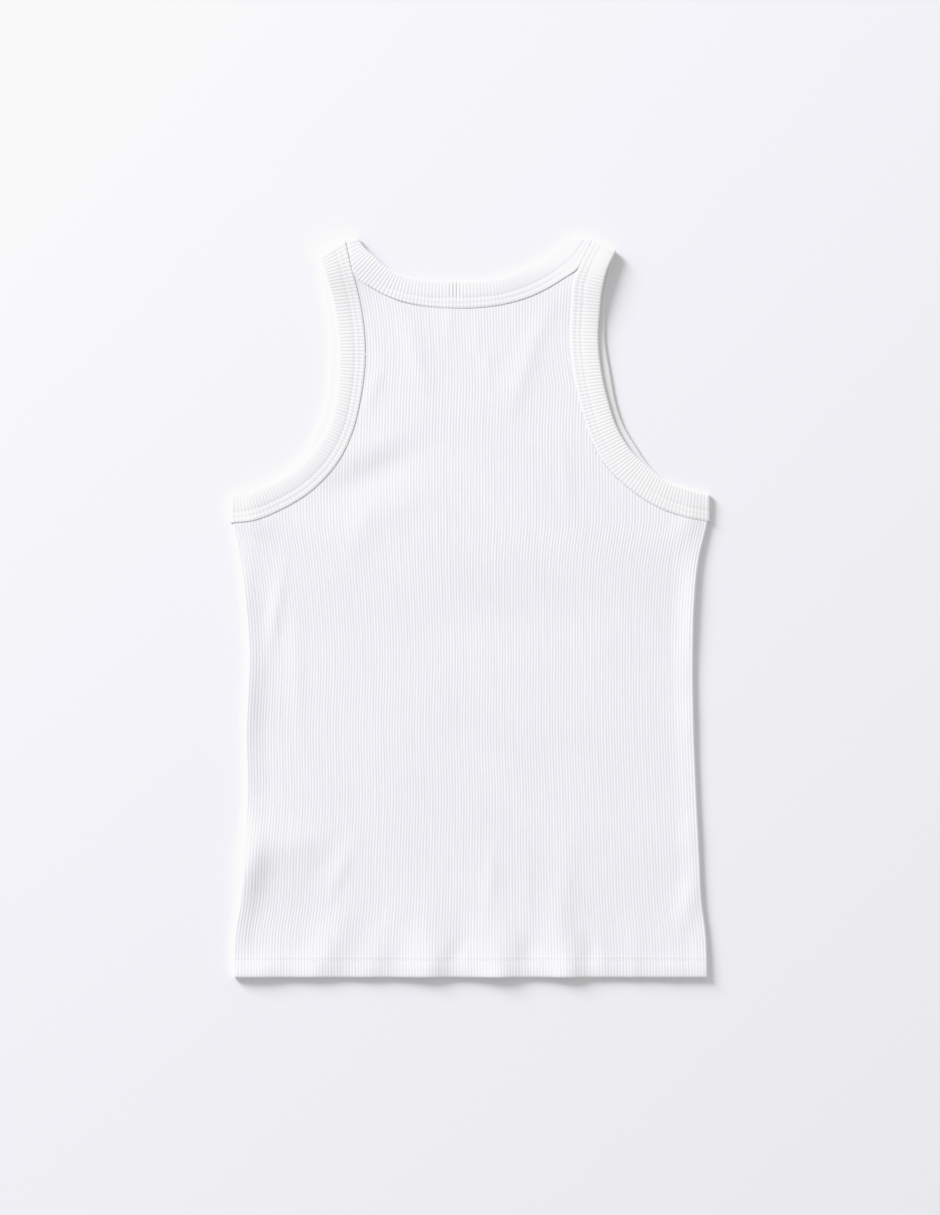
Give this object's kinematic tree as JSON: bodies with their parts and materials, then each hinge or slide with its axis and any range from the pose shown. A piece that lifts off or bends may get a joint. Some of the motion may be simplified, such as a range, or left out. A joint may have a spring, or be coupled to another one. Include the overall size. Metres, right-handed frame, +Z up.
{
  "type": "tank top",
  "caption": "Sleeveless rib-knit top laid flat with its back uppermost, with narrow shoulders, a round neck, folded rib bindings and a stitched, softly fluted hem.",
  "frame": {"origin": "on the ground, under the middle of the garment's box", "axes": "+X to the right of the garment as it lies, +Y from the hem to the neck, +Z up"},
  "size_m": [0.4198, 0.6459, 0.0082],
  "materials": {
    "body_cloth": "matt white cotton rib knit",
    "binding_cloth": "matt white cotton rib knit, folded double"
  },
  "bodies": {
    "root": {"back": "body_cloth", "front": "body_cloth", "neck_binding": "binding_cloth", "armhole_binding_left": "binding_cloth", "armhole_binding_right": "binding_cloth"}
  },
  "joints": []
}
